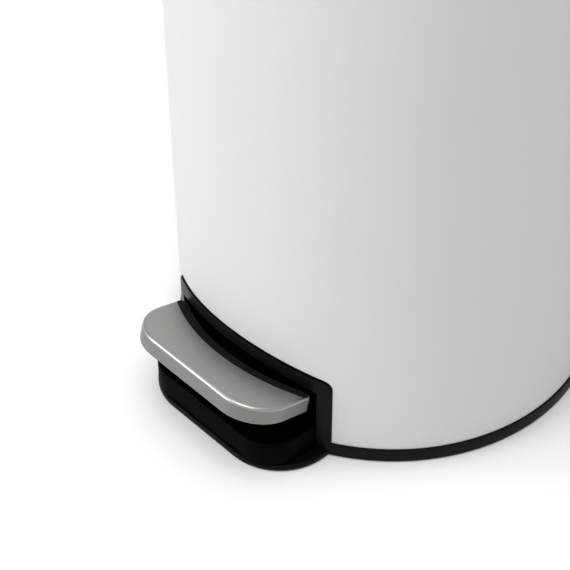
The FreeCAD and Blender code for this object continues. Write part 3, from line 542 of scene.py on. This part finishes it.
def ring_trim():
    """The base ring: a channel for the sheet, rounded outside, open at the surround."""
    sheet_out, sheet_in = BODY_R + SNUG, BODY_R - SHEET
    profile = rounded([
        (FLANGE_IN, FLOOR_GAP, 0.4 * MM), (TRIM_R, FLOOR_GAP, 0.7 * MM),
        (TRIM_R, RING_TOP, 0.75 * MM), (sheet_out, RING_TOP, 0.15 * MM),
        (sheet_out, SHELL_Z0, 0), (sheet_in, SHELL_Z0, 0),
        (sheet_in, RING_TOP, 0.2 * MM), (TRIM_IN, RING_TOP, 0.3 * MM),
        (TRIM_IN, FLANGE_TOP, 0.8 * MM), (FLANGE_IN, FLANGE_TOP, 0.4 * MM)], 5)
    start = math.asin((SUR_HALF + 0.1 * MM) / TRIM_R)
    count = 240
    angles = [start + (FULL_TURN - 2 * start) * i / count for i in range(count + 1)]
    ring = lathe("base_ring_trim", profile, angles)
    lever_end = box_mesh((-24 * MM, 120 * MM, BELOW_FLOOR), (24 * MM, 145.3 * MM, 20 * MM))
    ring = cut(ring, lever_end)
    bore_r, bore_top, bore_steps = 3.5 * MM, 2.4 * MM, 32
    for low, high in solid_boxes("base_screws"):
        at = (low + high) / 2
        ring = cut(ring, post_mesh(bore_r, BELOW_FLOOR, bore_top, bore_steps, at.x, at.y))
    dress(ring, "black_plastic", "can", "black_plastic", "base_ring")


def surround_band():
    """The arched band and the short tunnel behind it, one section swept along an upside-down U."""
    leg_steps, bend_steps, crown_steps = 10, 8, 30
    edge, edge_corner, mouth_corner, back_corner = 0.6 * MM, 1.4 * MM, 1.0 * MM, 2.4 * MM
    outward = 0.85                      # faces that look outwards less than this get painted shade

    def on_body(x, z, radius):
        return Vector((x, -math.sqrt(radius ** 2 - x ** 2), z))

    def line(half, mid_z, end_z, corner):
        """Left leg, corner, arch, corner and right leg, always with the same count of points."""
        (x0, z0), (x1, z1) = arch(half, mid_z, end_z, 2)[:2]
        turned = math.pi / 2 - 2 * math.atan2(z1 - z0, x1 - x0)
        knee_z = end_z - corner * math.tan(turned / 2)
        leg = [(-half, FLOOR_GAP + (knee_z - FLOOR_GAP) * k / leg_steps)
               for k in range(leg_steps)]
        bend = [(-half + corner * (1 - math.cos(t)), knee_z + corner * math.sin(t))
                for t in [turned * k / bend_steps for k in range(bend_steps + 1)]]
        crown_r = arch_radius(half, mid_z - end_z)
        xs = [bend[-1][0] * (1 - k / crown_steps) for k in range(1, crown_steps + 1)]
        crown = [(x, mid_z - crown_r + math.sqrt(crown_r ** 2 - x ** 2)) for x in xs]
        left = leg + bend + crown
        return left + [(-x, z) for x, z in reversed(left[:-1])]

    lines = {
        "outer": line(SUR_HALF, SUR_MID_Z, SUR_END_Z, SUR_CORNER),
        "outer_in": line(SUR_HALF - edge, SUR_MID_Z - edge, SUR_END_Z - edge, SUR_CORNER - edge),
        "inner_out": line(OPEN_HALF + edge, SUR_MID_Z - BAND + edge,
                          SUR_END_Z - BAND + edge, edge_corner),
        "inner": line(OPEN_HALF, SUR_MID_Z - BAND, SUR_END_Z - BAND, mouth_corner),
        "back": line(OPEN_HALF + TUNNEL_WALL, SUR_MID_Z - BAND + TUNNEL_WALL,
                     SUR_END_Z - BAND + TUNNEL_WALL, back_corner),
    }
    profile = [
        ("outer", BODY_R + SNUG), ("outer", TRIM_R - edge), ("outer_in", TRIM_R),
        ("inner_out", TRIM_R), ("inner", TRIM_R - edge), ("inner", TUNNEL_R),
        ("back", TUNNEL_R), ("back", BODY_R + SNUG)]
    rings = [[on_body(*lines[key][i], radius) for key, radius in profile]
             for i in range(len(lines["outer"]))]
    band = loft("surround_band", rings)
    dress(band, "black_plastic", "can", "black_plastic", "pedal_surround")
    # The tunnel's inside and the outer edge's bevel get painted shade, for the dark recess and the shadow line
    # round the band.
    second_finish(band, "painted_shade_black", lambda at, out: (
        (out.x * at.x + out.y * at.y) / math.hypot(at.x, at.y) < outward))


def pedal_outline(inset, z):
    """The pedal's outline at a height, moved in by inset: large front corners, small rear ones."""
    least = 0.3 * MM
    half, front, back = PEDAL_HALF - inset, PEDAL_FRONT + inset, PEDAL_BACK - inset
    corner, heel = max(PEDAL_CORNER - inset, least), max(PEDAL_HEEL - inset, least)
    return at_height(rounded([(-half, front, corner), (half, front, corner),
                              (half, back, heel), (-half, back, heel)], 14), z)


def pedal_cap():
    """The pressed stainless cap, open below.

    Its top stops at a hollow arc, and its sides turn in behind. It is made level, about the
    lever's pivot, and then tilted with the lever.
    """
    sheet, edge, hem, straight, past = CAP_SHEET, PEDAL_EDGE, 0.3 * MM, 3 * MM, 2 * MM
    bend_z = PEDAL_TOP - edge
    quarter = quarter_turn(10)
    inside = [(sheet + (edge - sheet) * (1 - math.sin(t)), bend_z + (edge - sheet) * math.cos(t))
              for t in quarter]
    skirt = [(sheet, PEDAL_SKIRT + hem), (sheet - hem, PEDAL_SKIRT), (hem, PEDAL_SKIRT),
             (0.0, PEDAL_SKIRT + hem), (0.0, PEDAL_SKIRT + straight)]
    outside = [(edge * (1 - math.cos(t)), bend_z + edge * math.sin(t)) for t in quarter]
    levels = inside + skirt + outside
    cap = loft("pedal_cap", [pedal_outline(inset, z) for inset, z in levels])

    half, high = PEDAL_HALF - sheet, PEDAL_TOP + past
    start = math.acos(half / CAP_ARC_R) / DEG
    hollow = [Vector((half, PEDAL_BACK + past)), Vector((-half, PEDAL_BACK + past))]
    hollow += arc((0, CAP_ARC_Y), CAP_ARC_R, 180 + start, 360 - start, 96)
    cap = cut(cap, prism(hollow, bend_z, high))
    half = PEDAL_HALF - CAP_RETURN
    cap = cut(cap, box_mesh((-half, PEDAL_BACK - 4 * MM, PEDAL_SKIRT - MM),
                            (half, PEDAL_BACK + MM, high)))

    upright, level = 0.12, 0.985        # how far up a side and the top look
    dress(cap, "brushed_stainless", "pedal", "brushed_stainless", "pedal_cover")
    # The cap's upright skirt gets painted shade, a darker copy of the same steel.
    second_finish(cap, "side_stainless_painted_shade", lambda at, out: abs(out.z) < upright)
    second_finish(cap, "bend_stainless", lambda at, out: upright <= out.z < level)
    cap.data.transform(Matrix.Translation(PIVOT) @ Matrix.Rotation(-TILT, 4, "X"))


def foot_tray():
    """The moulded foot: a wide lip at the floor, a narrower wall with a rim, and a sunk deck.

    It is hollow below the deck, and open towards the body.
    """
    soft, fillet, rim, inner_rim = 0.5 * MM, 1.5 * MM, 0.8 * MM, 0.4 * MM
    rim_mid = 0.25 * MM
    lip = [(0.0, FLOOR_GAP + soft)]
    lip += [(fillet * (1 - math.cos(t)), LIP_TOP - fillet + fillet * math.sin(t))
            for t in quarter_turn(6)]
    wall = [(0.0, LIP_TOP), (0.0, FOOT_TOP - rim), (rim_mid, FOOT_TOP - rim_mid),
            (rim, FOOT_TOP), (FOOT_WALL - inner_rim, FOOT_TOP),
            (FOOT_WALL, FOOT_TOP - inner_rim), (FOOT_WALL, DECK + soft), (FOOT_WALL + soft, DECK)]
    below = [(FOOT_WALL + soft, DECK - 2.5 * MM), (FOOT_WALL, DECK - 3 * MM),
             (FOOT_WALL, FLOOR_GAP)]
    outer_run, inner_run = 20 * MM, 12 * MM     # how far the walls run on before the back is cut

    def outline(half, front, corner, inset, z):
        half, front, corner = half - inset, front + inset, corner - inset
        back = FOOT_BACK + (outer_run if inset < FOOT_WALL else inner_run)
        return at_height(rounded([(-half, front, corner), (half, front, corner),
                                  (half, back, 0), (-half, back, 0)], 20), z)

    def on_lip(inset, z):
        return outline(FOOT_HALF, FOOT_FRONT, FOOT_CORNER, inset, z)

    def on_wall(inset, z):
        return outline(WALL_HALF, WALL_FRONT, WALL_CORNER, inset, z)

    rings = [on_wall(inset, z) for inset, z in below]
    rings += [on_lip(inset, z) for inset, z in [(soft, FLOOR_GAP)] + lip]
    rings += [on_wall(inset, z) for inset, z in wall]
    tray = loft("foot_tray", rings)
    wide, cut_low, cut_high, cut_depth = 90 * MM, -5 * MM, 50 * MM, 40 * MM
    tray = cut(tray, box_mesh((-wide, FOOT_BACK, cut_low), (wide, FOOT_BACK + cut_depth, cut_high)))

    # Within the mouth the wall runs into the body; beyond it the lip stops at the body.
    mouth = WALL_HALF + 0.05 * MM
    body_gap, body_top = 0.1 * MM, 40 * MM
    body = post_mesh(TRIM_R + body_gap, BELOW_FLOOR, body_top, 360)
    body = cut(body, box_mesh((-mouth, -160 * MM, BELOW_FLOOR - MM),
                              (mouth, -100 * MM, body_top + MM)))
    tray = cut(tray, body)
    # Above the lip the tray gets painted shade, near-black, for the shadow under the pedal; below it the plain
    # black plastic stays.
    dress(tray, "painted_shade_black", "can", "black_plastic", "pedal_foot")
    second_finish(tray, "black_plastic", lambda at, out: at.z < LIP_TOP + 0.05 * MM)


def dome_points(offset):
    """The lid's outside, moved in by offset: the shoulder's arc, then the dome's to the axis."""
    shoulder_steps, dome_steps = 14, 26
    corner, dome_r = LID_CORNER - offset, LID_DOME_R - offset
    centre_r = TRIM_R - LID_CORNER
    slope = math.asin(centre_r / (LID_DOME_R - LID_CORNER))
    join_z = LID_SHOULDER_Z + corner * math.cos(slope)
    centre_z = join_z - dome_r * math.cos(slope)
    shoulder = arc((centre_r, LID_SHOULDER_Z), corner, 0, 90 - slope / DEG, shoulder_steps)
    turns = [slope * (1 - i / dome_steps) for i in range(1, dome_steps + 1)]
    dome = [Vector((dome_r * math.sin(t), centre_z + dome_r * math.cos(t))) for t in turns]
    return shoulder + dome


def lid_cap():
    """The pressed lid, with a softened rim and a notch for the hinge block."""
    rim = [Vector((TRIM_R - 0.5 * MM, LID_Z0)), Vector((TRIM_R - 0.1 * MM, LID_Z0 + 0.2 * MM)),
           Vector((TRIM_R, LID_Z0 + 0.6 * MM))]
    inner = list(reversed(dome_points(SHEET))) + [Vector((TRIM_R - SHEET, LID_Z0 + 0.2 * MM))]
    cap = lathe("lid_cap", rim + dome_points(0.0) + inner)
    hinge_notch = box_mesh((-23 * MM, 143 * MM, 580 * MM), (23 * MM, 175 * MM, 609 * MM))
    cap = cut(cap, hinge_notch)
    dress(cap, "white_enamel", "lid", "white_enamel", "lid_shell")


def collar_trim():
    """The ring on the body's top edge, sloping in to the mouth."""
    channel_r, channel_z = 149.1 * MM, 566 * MM
    crest_r, slope_r, slope_z, mouth_z = 144 * MM, 141.5 * MM, 583.5 * MM, 583 * MM
    profile = rounded([
        (MOUTH_R, COLLAR_Z0, 0.6 * MM), (TRIM_IN, COLLAR_Z0, 0.2 * MM),
        (TRIM_IN, channel_z, 0.4 * MM), (channel_r, channel_z, 0.4 * MM),
        (channel_r, COLLAR_Z0, 0), (TRIM_R, COLLAR_Z0, 0.4 * MM),
        (TRIM_R, COLLAR_Z1, 1.4 * MM), (crest_r, COLLAR_Z1, 1.6 * MM),
        (slope_r, slope_z, 1.6 * MM), (MOUTH_R, mouth_z, 0.8 * MM)], 5)
    collar = lathe("collar_trim", profile)
    rod_slot = box_mesh((-10 * MM, 120 * MM, 560 * MM), (10 * MM, 160 * MM, 600 * MM))
    collar = cut(collar, rod_slot)
    dress(collar, "black_plastic", "can", "black_plastic", "top_collar")


def bucket_liner():
    """The lift-out bucket: a tapered wall with a step, a turned rim, and an ear each side."""
    z0, z1, t = BUCKET_Z0, BUCKET_RIM_Z, BUCKET_T
    foot_z, rim_z = z0 + 1 * MM, z1 - 3 * MM
    floor_z, raised_z = foot_z + t, z0 + 1.6 * MM + t
    lean = (BUCKET_R1 - BUCKET_R0) / (z1 - 5 * MM - z0)
    step_z = z0 + 300 * MM
    step_r = BUCKET_R0 + lean * (step_z - z0)
    above_r, above_z = step_r + 0.5 * MM, step_z + 1.5 * MM
    hub = 0.01 * MM
    profile = rounded([
        (hub, foot_z, 0), (BUCKET_R0 - 8 * MM, foot_z, 0.4 * MM),
        (BUCKET_R0 - 7 * MM, z0, 0.3 * MM), (BUCKET_R0, z0, 1.8 * MM),
        (step_r, step_z, 1.2 * MM), (above_r, above_z, 1.2 * MM),
        (BUCKET_R1, rim_z, 0.3 * MM), (RIM_R, rim_z, 0.7 * MM), (RIM_R, z1, 1.2 * MM),
        (BUCKET_R1 - t, z1, 0.8 * MM), (above_r - t, above_z, 1.2 * MM),
        (step_r - t, step_z, 1.2 * MM), (BUCKET_R0 - t, floor_z, 4 * MM),
        (60 * MM, floor_z, 0), (58 * MM, raised_z, 0.8 * MM),
        (52 * MM, raised_z, 0.8 * MM), (50 * MM, floor_z, 0), (hub, floor_z, 0)], 4)
    bucket = lathe("bucket_liner", profile)
    ear_half, ear_round, ear_in, ear_out = 6 * MM, 4.5 * MM, 128 * MM, RIM_R - 0.8 * MM
    outline = rounded([
        (-ear_half, rim_z, 0.3 * MM), (ear_half, rim_z, 0.3 * MM),
        (ear_half, BAIL.z + ear_round, ear_round), (-ear_half, BAIL.z + ear_round, ear_round)], 6)
    pieces = [bucket]
    for side in (-1, 1):
        rings = [[Vector((side * x, p.x, p.y)) for p in outline] for x in (ear_in, ear_out)]
        pieces.append(loft("ear", rings))
    bucket = join(pieces)
    dress(bucket, "bucket_plastic", "bucket", "bucket_plastic", "inner_bucket")


def bail_pieces():
    """The bent wire and the moulded grip on it."""
    end, bend, straight = RIM_R - 1.2 * MM, 2.6 * MM, 3 * MM
    centre = (0, BAIL.y - BAIL_SHIFT)
    left = [Vector((-end, BAIL.y)), Vector((-end + straight, BAIL.y))]
    left += arc((-BAIL_R - bend, BAIL.y - bend), bend, 90, 0, 8)
    bow = arc(centre, BAIL_R, 180, 360, 120)
    path = left + bow + [Vector((-p.x, p.y)) for p in reversed(left)]
    wire = sweep("bail_wire", path, [circle(WIRE_R, 14, BAIL.z)] * len(path))
    dress(wire, "zinc_steel", "bail", "zinc_steel", "bucket_bail")

    count, grip_half, grip_r = 72, 42 * MM, 4.8 * MM
    end_steps, end_share = 3, 0.35      # the rounded ends, and how much thinner they get
    grooves, groove_depth = 9, 0.06
    span = math.asin(grip_half / BAIL_R) / DEG
    line = arc(centre, BAIL_R, 270 - span, 270 + span, count)
    sections = []
    for i in range(count + 1):
        end_on = min(i, count - i) / end_steps
        if end_on >= 1:
            fullness = 1.0 + groove_depth * math.sin(FULL_TURN * grooves * i / count)
        else:
            fullness = math.sqrt(1 - (1 - end_on) ** 2) * end_share + (1 - end_share)
        sections.append(circle(grip_r * fullness, 24, BAIL.z))
    grip = sweep("bail_hand_grip", line, sections)
    dress(grip, "black_plastic", "bail", "black_plastic", "bail_grip")


def coil_spring():
    """The return spring, its end turns closed up."""
    clear, closing = 0.1 * MM, 0.045
    low, high = bottom_of("return_spring").z + clear, top_of("return_spring").z - clear
    wire, radius, turns, per_turn = 0.7 * MM, 5.0 * MM, 13, 40
    centre_y = (bottom_of("lift_rod").y + top_of("lift_rod").y) / 2
    span = high - low - 2 * wire
    rings = []
    for i in range(turns * per_turn + 1):
        t = i / (turns * per_turn)
        eased = t - closing * math.sin(FULL_TURN * t)
        angle = FULL_TURN * turns * t
        centre = Vector((radius * math.cos(angle), centre_y + radius * math.sin(angle),
                         low + wire + span * eased))
        out = Vector((math.cos(angle), math.sin(angle), 0))
        rings.append([centre + out * u + Vector((0, 0, v)) for u, v in circle(wire, 10)])
    spring = loft("return_coil", rings)
    dress(spring, "spring_steel", "can", "spring_steel", "return_spring")
    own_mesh(spring)


def carry_grip():
    """The grip at the back: a bow between two legs, with rounded edges."""
    z0, z1 = HANDLE_LOW.z, HANDLE_HIGH.z
    thick, leg_x, knee, edge = 11 * MM, 53 * MM, 9 * MM, 3.2 * MM
    short = 4                           # degrees that the bow stops short of the legs
    root, slimmer, taper = 7, 1.5, 14   # half thickness at the body, and less over the taper
    middle_r = HANDLE_HIGH.y - thick / 2
    start = math.acos(leg_x / middle_r) / DEG
    bow = arc((0, 0), middle_r, 180 - start - short, start + short, 60)
    corners = [(-leg_x, y, 0) for y in (140 * MM, 150 * MM, 158 * MM)]
    corners += [(-leg_x, middle_r * math.sin(start * DEG) - 0.5 * MM, knee),
                (bow[0].x, bow[0].y, 0)]
    left = rounded(corners, 10)
    path = left + bow[1:-1] + [Vector((-p.x, p.y)) for p in reversed(left)]
    sections = []
    for i in range(len(path)):
        lead = min(i, len(path) - 1 - i)
        half = (root - slimmer * min(1, lead / taper)) * MM
        sections.append([(p.x, p.y) for p in rounded([
            (-half, z0, edge), (half, z0, edge), (half, z1, edge), (-half, z1, edge)], 5)])
    grip = sweep("carry_grip", path, sections)
    grip = cut(grip, post_mesh(BODY_R + SNUG, 400 * MM, 520 * MM, AROUND))
    dress(grip, "black_plastic", "can", "black_plastic", "carry_handle")


body_skin()
ring_trim()
surround_band()
pedal_cap()
foot_tray()
lid_cap()
collar_trim()
bucket_liner()
bail_pieces()
coil_spring()
carry_grip()


# ---- CAD nodes that show themselves, with softened edges ----

STOOD_FOR = {
    "body_shell", "base_ring", "pedal_surround", "pedal_cover", "pedal_foot", "lid_shell",
    "top_collar", "inner_bucket", "bucket_bail", "bail_grip", "return_spring", "carry_handle"}
# The lever and bracket take the coated steel, which carries painted shade for the gap behind the pedal.
OWN_FINISH = {
    "pedal_core": "core_plastic", "pedal_lever": "coated_steel", "pedal_bracket": "coated_steel"}


def soften(node, slot):
    """Gives a CAD node its finish and breaks its sharp edges, without touching its mesh."""
    piece = frame["nodes"][node]
    piece.material_slots[0].material = PAINT[OWN_FINISH.get(node, slot)]
    weld = piece.modifiers.new("weld", "WELD")
    weld.merge_threshold = MERGE
    flat = piece.modifiers.new("flat", "DECIMATE")
    flat.decimate_type = "DISSOLVE"
    flat.angle_limit = 0.4 * DEG
    edge = piece.modifiers.new("edge", "BEVEL")
    edge.width = 0.25 * MM
    edge.segments = 2
    edge.limit_method = "ANGLE"
    edge.angle_limit = 38 * DEG
    edge.use_clamp_overlap = True
    normals = piece.modifiers.new("normals", "WEIGHTED_NORMAL")
    normals.keep_sharp = False


for row in frame["record"]["subparts"]:
    if row["node"] not in STOOD_FOR:
        soften(row["node"], row["material_slot"])


# ---- floor, light and camera ----

def studio():
    radius, thick, steps = 9.0, 0.02, 64
    turns = [FULL_TURN * i / steps for i in range(steps)]
    outline = [(radius * math.cos(t), radius * math.sin(t)) for t in turns]
    floor = loft("studio_floor", [at_height(outline, z) for z in (-thick, 0.0)])
    floor.data.materials.append(surface(
        "floor_white", (0.90, 0.90, 0.90), (0.92, 0.92, 0.92), (0.55, 0.65),
        patch=0.8, grain=40, depth=0.05 * MM))

    world = bpy.data.worlds.new("studio")
    bpy.context.scene.world = world
    world.use_nodes = True
    sky = world.node_tree.nodes["Background"]
    sky.inputs["Color"].default_value = (1.0, 0.992, 0.98, 1)
    sky.inputs["Strength"].default_value = 0.645

    def panel(name, place_at, aim, size, power):
        light = bpy.data.lights.new(name, "AREA")
        light.shape = "RECTANGLE"
        light.size, light.size_y = size
        light.energy = power
        made = place(name, light)
        made.location = place_at
        ahead = Vector(aim) - Vector(place_at)
        made.rotation_euler = ahead.to_track_quat("-Z", "Y").to_euler()

    panel("key_left", (-1.68, -2.32, 1.45), aim=(0, 0, 0.25), size=(2.0, 2.4), power=48)
    panel("top", (0.2, -0.6, 2.6), aim=(0, 0, 0.2), size=(1.6, 1.6), power=31)


def photo_camera():
    """A long lens, looking down at the foot of the bin from its front right."""
    place_at = Vector((0.5961, -0.6558, 0.8289))
    turn, pitch, roll = 47.06 * DEG, 42.31 * DEG, -0.38 * DEG
    ahead = Vector((-math.sin(turn) * math.cos(pitch), math.cos(turn) * math.cos(pitch),
                    -math.sin(pitch)))
    level = Vector((math.cos(turn), math.sin(turn), 0))
    high = level.cross(ahead)
    right = level * math.cos(roll) + high * math.sin(roll)
    up = high * math.cos(roll) - level * math.sin(roll)
    lens = bpy.data.cameras.new("camera")
    lens.lens, lens.sensor_width = 102.74, 36.0
    lens.clip_start, lens.clip_end = 0.05, 60.0
    made = place("camera", lens)
    turned = Matrix((right, up, -ahead)).transposed().to_4x4()
    made.matrix_world = Matrix.Translation(place_at) @ turned
    bpy.context.scene.camera = made


studio()
photo_camera()
bpy.context.scene.view_settings.view_transform = "Standard"
